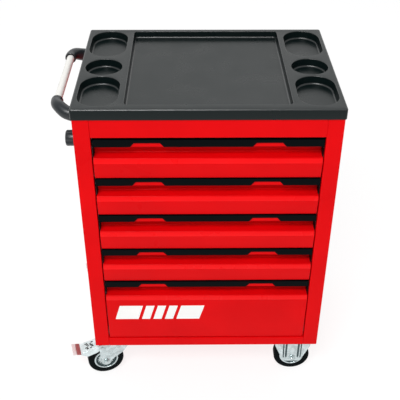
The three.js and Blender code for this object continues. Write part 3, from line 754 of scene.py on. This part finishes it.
def wheel(name, at_axle):
    """A stamped rim with a scalloped web and painted shade in its groove, and a solid rubber tyre."""
    body = f"wheel_{name}"
    bm = bmesh.new()
    turn(bm, tyre_profile(), 96, "y", closed=True)
    piece(f"{name}_tyre", bm, RUBBER, body, at_axle, replaces=[f"tyre_{name}"])

    hub = [(5.6, 18.8), (9.5, 18.8), (10.8, 18.2), (11.4, 16.5), (12.2, 12), (13.6, 9.4)]
    web = [(16, 8.2), (18.5, 7.8), (21, 8), (23, 8.4), (25, 9.2), (26.6, 10.4), (28, 12.4), (28.8, 14.4)]
    rim = [(29.8, 15.6), (31.4, 15.9), (33, 15.6), (34, 14.6)]
    section = hub + web + rim
    bm = bmesh.new()
    turn(bm, [(r, -t) for r, t in section] + [(r, t) for r, t in reversed(section)], 108, "y",
         closed=True, wave=scallop)
    piece(f"{name}_rim", bm, ZINC, body, at_axle, replaces=[f"wheel_rim_{name}"])

    # A thin dark ring laid on each face of the web in its groove: painted shade.
    groove = [(24.2, 9.1), (26, 10.1), (27.4, 12), (28.9, 14.9), (28.5, 15.3), (26.8, 12.4), (25.4, 10.6),
              (24, 9.6)]
    bm = bmesh.new()
    for side in (-1, 1):
        turn(bm, [(r, side * t) for r, t in groove], 108, "y", closed=True, wave=groove_wave)
    piece(f"{name}_rim_groove_shade", bm, ZINC_SHADE, body, at_axle)


def build_fixed_caster(name):
    """A bracket with two ribbed legs, and its wheel."""
    spin = joint_place(f"wheel_{name}_spin")
    place = Matrix.Translation((spin.x, spin.y, 0))
    at_axle = place @ Matrix.Translation((0, 0, -AXLE_DROP))
    top, foot, low = 50, 26, -AXLE_DROP - LEG["boss"]
    outline = [(-top, -1.5, 0), (-top, -32, 10), (-foot, low + 4, 8), (8 - foot, low, 6),
               (foot - 8, low, 6), (foot, low + 4, 8), (top, -32, 10), (top, -1.5, 0)]
    bm = bmesh.new()
    bottom_plate(bm)
    leg_pair(bm, rounded(outline, 6, closed=True))
    for side in (-1, 1):
        for x in (-22, 22):
            pressed_rib(bm, (x, -6), (x * 0.95, low + 9), 4, 2, side)
    axle_discs(bm, 0)
    piece(f"{name}_bracket", bm, ZINC, "cabinet", place, replaces=[f"caster_bracket_{name}"],
          bevel=0.5)
    # Thin dark ribs on both sides of each pressed rib: painted shade along their flanks.
    bm = bmesh.new()
    for side in (-1, 1):
        for x in (-24.5, -17.5, 17.5, 24.5):
            pressed_rib(bm, (x, -7), (x * 0.95, low + 10), 6, 0.8, side)
    piece(f"{name}_press_line_shade", bm, ZINC_SHADE, "cabinet", place)
    plate_bolts(name, place, "cabinet")
    axle(name, at_axle, "cabinet")
    wheel(name, at_axle)


def build_swivel_plate(name, place):
    """The mounting plate with the upper race and the kingpin."""
    bm = bmesh.new()
    bottom_plate(bm)
    turn(bm, [(7, -2), (25, -2), (26, -3), (26, -6.4), (24.6, -8), (7, -8)], 48, closed=True)
    turn(bm, [(0.5, -2), (6, -2), (6, -15.9), (9.6, -15.9), (10.2, -16.6), (9, -18.4), (0.5, -18.7)], 40)
    piece(f"{name}_top_plate", bm, ZINC, "cabinet", place, replaces=[f"swivel_plate_{name}"],
          bevel=0.3)
    plate_bolts(name, place, "cabinet")


def build_fork(name, place, lead):
    """The turning fork: lower race, crown and two legs that trail to the axle."""
    top, low = CROWN_TOP, CROWN_TOP - CROWN_WALL
    bm = bmesh.new()
    turn(bm, [(6.7, low), (6.7, top), (20, top + 0.2), (22.4, top + 2.2), (23.4, -8.9), (26.4, -8.7),
              (27.2, -9.6), (27.2, top + 0.4), (25.6, top - 1.2), (22, top - 2.4)], 56, closed=True)
    rear, front = -58, 24
    crown = [(rear, -LEG_OUTSIDE, 3), (front, -LEG_OUTSIDE, 8), (front, LEG_OUTSIDE, 8),
             (rear, LEG_OUTSIDE, 3)]
    prism(bm, rounded(crown, 4, closed=True), "z", low, top)
    leg = [(front, top, 0), (front, -26, 12), (4, -54, 30), (-lead + 13, -AXLE_DROP + 2, 12)]
    for k in range(11):
        angle = math.radians(-20 - 14 * k)
        leg.append((-lead + LEG["boss"] * math.cos(angle), -AXLE_DROP + LEG["boss"] * math.sin(angle), 0))
    leg += [(-61, -44, 16), (-61, top, 0)]
    leg_pair(bm, rounded(leg, 6, closed=True))
    for side in (-1, 1):
        pressed_rib(bm, (-4, -20), (-lead + 9, -AXLE_DROP + 16), 7, 1.8, side)
    axle_discs(bm, -lead)
    piece(f"{name}_fork", bm, ZINC, f"swivel_{name}", place, replaces=[f"swivel_fork_{name}"],
          bevel=0.5)


def build_swivel_caster(name):
    """A caster with its plate, fork, wheel and brake pedal."""
    pivot = joint_place(f"swivel_{name}_turn")
    spin = joint_place(f"wheel_{name}_spin")
    lead = math.hypot(spin.x - pivot.x, spin.y - pivot.y)
    angle = math.atan2(pivot.y - spin.y, pivot.x - spin.x)
    still = Matrix.Translation((pivot.x, pivot.y, 0))
    place = still @ Matrix.Rotation(angle, 4, "Z")
    at_axle = place @ Matrix.Translation((-lead, 0, -AXLE_DROP))
    build_swivel_plate(name, still)
    build_fork(name, place, lead)
    axle(name, at_axle, f"swivel_{name}")
    wheel(name, at_axle)
    build_pedal(name, place)


# ---------------------------------------------------------------- brake pedals
# The pedal's pivot, its far end, its tip's drop, its half width, and its tail behind the pivot.
PEDAL = {"x": -52, "z": -24.5, "end": -133, "drop": 12, "half": 19, "tail": 7}
PEDAL_TOP = PEDAL["z"] + 3
PEDAL_LOW = PEDAL["z"] - PEDAL["drop"]
SLOPE_END = PEDAL["end"] + 18


def pedal_plate(name, place):
    """The stamped plate, its side wings and the brake shoe below it."""
    x, z, end, wide = PEDAL["x"], PEDAL["z"], PEDAL["end"], PEDAL["half"]
    top, tip, tail = PEDAL_TOP, PEDAL_LOW, x + PEDAL["tail"]
    path = [(tail, top), (x - 14, top, 14), (SLOPE_END, tip + 3, 14), (end, tip + 7)]
    wing = [(tail, top - 0.5, 1), (x - 14, top - 0.5, 1), (SLOPE_END, tip + 2.5, 1), (end + 19, tip - 3, 2),
            (-95, -51, 5), (-67, -42, 8), (x - 4, z - 9, 3), (tail, z - 5, 3)]
    shoe = [(x - 14, top - 1), (x - 26, top - 5), (x - 26, z - 7), (x - 14, z - 3)]
    bm = bmesh.new()
    prism(bm, sheet(path, -2, 10), "y", -wide, wide)
    for side in (-1, 1):
        prism(bm, rounded(wing, 1, closed=True), "y", side * (wide - 2), side * wide)
    prism(bm, rounded(shoe, 1, closed=True), "y", -9, 9)
    piece(f"{name}_pedal", bm, PEDAL_ZINC, f"brake_{name}", place, replaces=[f"brake_pedal_{name}"],
          bevel=0.9)


def pedal_band(name, label, place, material, ends, thickness, ridges):
    """A cover across the pedal's end, thinner over its first and last tenth, with a number of ridges."""
    x0, x1 = ends
    wide = PEDAL["half"] + 1.6
    steps, rise = 24, 4 / 18
    section = ((-1, -2.6), (-1, 0.3), (-0.94, 0.85), (-0.8, 1), (0.8, 1), (0.94, 0.85), (1, 0.3), (1, -2.6))
    rings = []
    for k in range(steps + 1):
        t = k / steps
        x = x0 + (x1 - x0) * t
        base = PEDAL_LOW + 3 + max(0, SLOPE_END - x) * rise
        ridge = 0.35 * math.cos(2 * math.pi * ridges * t) if ridges else 0
        crest = thickness * (1 + ridge) * min(1, 8 * t + 0.2, 8 * (1 - t) + 0.2)
        rings.append([(x, y * wide, base + (crest * z if z > 0 else z)) for y, z in section])
    bm = bmesh.new()
    loft(bm, rings)
    piece(f"{name}_{label}", bm, material, f"brake_{name}", place)


def pedal_stamps(name, place):
    """Dark marks, barely raised, in two short rows across the pedal's plate: painted shade for shallow
    dimples.
    """
    (x0, z0), (x1, z1) = (PEDAL["x"] - 18, PEDAL_TOP), (PEDAL["end"] + 26, PEDAL_LOW + 4.8)
    slope = (z1 - z0) / (x1 - x0)
    bm = bmesh.new()
    for row, t in enumerate((0.3, 0.62)):
        for k in range(5):
            x = x0 + (x1 - x0) * t + 2.6 * ((k * 2 + row) % 3 - 1)
            y, z = -10 + 5 * k, z0 + slope * (x - x0)
            long, wide = 2.2 + 0.9 * ((k + row) % 3), 1.7
            corners = [(-long, -wide), (long, -wide), (long, wide), (-long, wide)]
            loft(bm, [[(x + dx, y + dy, z + slope * dx + level) for dx, dy in corners]
                      for level in (-0.3, 0.12)])
    piece(f"{name}_pedal_stamp_shade", bm, RECESS_SHADE, f"brake_{name}", place)


def build_pedal(name, place):
    """A stamped pedal with a ridged red pad, a pale tip and the rivets it turns on."""
    end = PEDAL["end"]
    pedal_plate(name, place)
    pedal_band(name, "pedal_pad", place, PEDAL_RED, (end + 8.5, end + 20), 2.6, 3)
    pedal_band(name, "pedal_tip", place, PEDAL_TIP, (end - 2.5, end + 8), 1.8, 0)
    pedal_stamps(name, place)
    bm = bmesh.new()
    for side in (-1, 1):
        rivet = [(0.4, 0), (4.4, 0), (4, 1.2), (2, 1.9), (0.4, 2)]
        turn(bm, [(r, side * (LEG_OUTSIDE + 0.1 + out)) for r, out in rivet], 24, "y",
             centre=(PEDAL["x"], 0, PEDAL["z"]))
    piece(f"{name}_pedal_rivets", bm, ZINC, f"swivel_{name}", place)


# ---------------------------------------------------------------- floor, light, camera
STUDIO = {"front": 0.26, "back": 1.0, "key": 104, "side": 6, "rear": 10, "floor_glow": 0.82}
FLOOR_REACH = 14000
FLOOR_CORNER = 4000
FLOOR_GAP = 0.5
CAMERA = {"place": (-38.0, -1466.3, 1526.8), "down": 0.6136, "right": 0.0131, "roll": 0.0036,
          "lens": 67.03, "sensor": 36}


def build_floor():
    """One large face just under the wheels, made pale by a glow of its own."""
    outline = rounded_box_outline(-FLOOR_REACH, FLOOR_REACH, -FLOOR_REACH, FLOOR_REACH, FLOOR_CORNER, 6)
    level = -AXLE_DROP - TYRE_RADIUS - FLOOR_GAP
    bm = bmesh.new()
    bm.faces.new([bm.verts.new((x, y, level)) for x, y in outline])
    bm.transform(CABINET)
    mesh = bpy.data.meshes.new("floor")
    bm.to_mesh(mesh)
    bm.free()
    mesh.materials.append(FLOOR)
    floor = bpy.data.objects.new("floor", mesh)
    bpy.context.scene.collection.objects.link(floor)
    shader = FLOOR.node_tree.nodes["Principled BSDF"]
    shader.inputs["Emission Color"].default_value = (1, 1, 1, 1)
    shader.inputs["Emission Strength"].default_value = STUDIO["floor_glow"]


def build_sky():
    """White light all round, brighter behind the cart than in front of it."""
    world = bpy.data.worlds.new("studio")
    bpy.context.scene.world = world
    world.use_nodes = True
    sky = world.node_tree
    direction = sky.nodes.new("ShaderNodeTexCoord")
    axes = sky.nodes.new("ShaderNodeSeparateXYZ")
    brightness = sky.nodes.new("ShaderNodeMapRange")
    brightness.inputs["From Min"].default_value = -0.6
    brightness.inputs["From Max"].default_value = 0.6
    brightness.inputs["To Min"].default_value = STUDIO["front"]
    brightness.inputs["To Max"].default_value = STUDIO["back"]
    sky.links.new(direction.outputs["Generated"], axes.inputs["Vector"])
    sky.links.new(axes.outputs["Y"], brightness.inputs["Value"])
    sky.links.new(brightness.outputs["Result"], sky.nodes["Background"].inputs["Strength"])
    sky.nodes["Background"].inputs["Color"].default_value = (1, 1, 1, 1)


def area_light(name, place, target, size, power):
    """A soft rectangular light, in metres, that looks at a target."""
    data = bpy.data.lights.new(name, "AREA")
    data.shape = "RECTANGLE"
    data.size, data.size_y = size
    data.energy = power
    light = bpy.data.objects.new(name, data)
    light.location = place
    light.rotation_euler = (Vector(target) - Vector(place)).to_track_quat("-Z", "Y").to_euler()
    bpy.context.scene.collection.objects.link(light)


def build_camera():
    """The photograph's view: down at the cart's front, from a little left of its middle."""
    data = bpy.data.cameras.new("camera")
    data.lens = CAMERA["lens"]
    data.sensor_width = CAMERA["sensor"]
    camera = bpy.data.objects.new("camera", data)
    yaw, pitch, roll = CAMERA["right"], CAMERA["down"], CAMERA["roll"]
    level = Vector((math.cos(yaw), -math.sin(yaw), 0))
    forward = Vector((math.sin(yaw) * math.cos(pitch), math.cos(yaw) * math.cos(pitch), -math.sin(pitch)))
    over = level.cross(forward)
    right = level * math.cos(roll) + over * math.sin(roll)
    up = over * math.cos(roll) - level * math.sin(roll)
    turned = Matrix((right, up, -forward)).transposed()
    camera.matrix_world = Matrix.Translation(CABINET @ Vector(CAMERA["place"])) @ turned.to_4x4()
    bpy.context.scene.collection.objects.link(camera)
    bpy.context.scene.camera = camera
    bpy.context.scene.view_settings.view_transform = "Standard"


# ---------------------------------------------------------------- the whole cart
build_shell()
build_back_rivets()
build_tray()
for drawer in range(1, DRAWERS + 1):
    build_drawer(drawer)
build_mark()
build_handle()
build_lock()
for where in ("front_right", "rear_right"):
    build_fixed_caster(where)
for where in ("front_left", "rear_left"):
    build_swivel_caster(where)
build_floor()
build_sky()
area_light("front_softbox", (-0.7, -2.4, 3.35), (0, 0, 0.5), (1.5, 1.0), STUDIO["key"])
area_light("rear_softbox", (0, 3.4, 3.1), (0, 0, 0.85), (3.2, 1.6), STUDIO["rear"])
area_light("right_softbox", (2.4, -1.6, 1.6), (0, 0, 0.5), (1.4, 2.0), STUDIO["side"])
build_camera()
